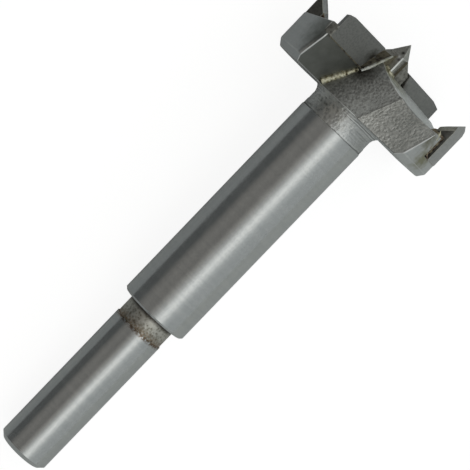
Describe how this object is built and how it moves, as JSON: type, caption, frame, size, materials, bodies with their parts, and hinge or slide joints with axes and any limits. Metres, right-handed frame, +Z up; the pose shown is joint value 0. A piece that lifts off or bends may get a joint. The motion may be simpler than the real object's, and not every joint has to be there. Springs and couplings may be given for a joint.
{
  "type": "forstner bit",
  "caption": "Carbide-tipped forstner bit: round shank, thicker ground body and a winged cutting head with flat blades, rim spurs and a pyramid centre point.",
  "frame": {"origin": "on the ground under the middle of the bit's bounding box, as it lies at rest", "axes": "+X from the shank end towards the centre point, +Z up, +Y to the side of the first blade; the tool axis rises 5.2 degrees towards the head"},
  "size_m": [0.099, 0.0348, 0.0265],
  "materials": {
    "steel": "ground bright on the shank, body and rim, raw forged grey on the collar and hub",
    "carbide": "fine ground dark grey cemented carbide",
    "braze": "yellow-brown braze filler, heat tinted"
  },
  "bodies": {
    "root": {"steel_body": "steel", "centre_point": "carbide", "cutting_blade_1": "carbide", "cutting_blade_2": "carbide", "scoring_spur_1": "carbide", "scoring_spur_2": "carbide", "blade_braze_1": "braze", "blade_braze_2": "braze", "spur_braze_1": "braze", "spur_braze_2": "braze", "point_braze_1": "braze", "point_braze_2": "braze"}
  },
  "joints": []
}
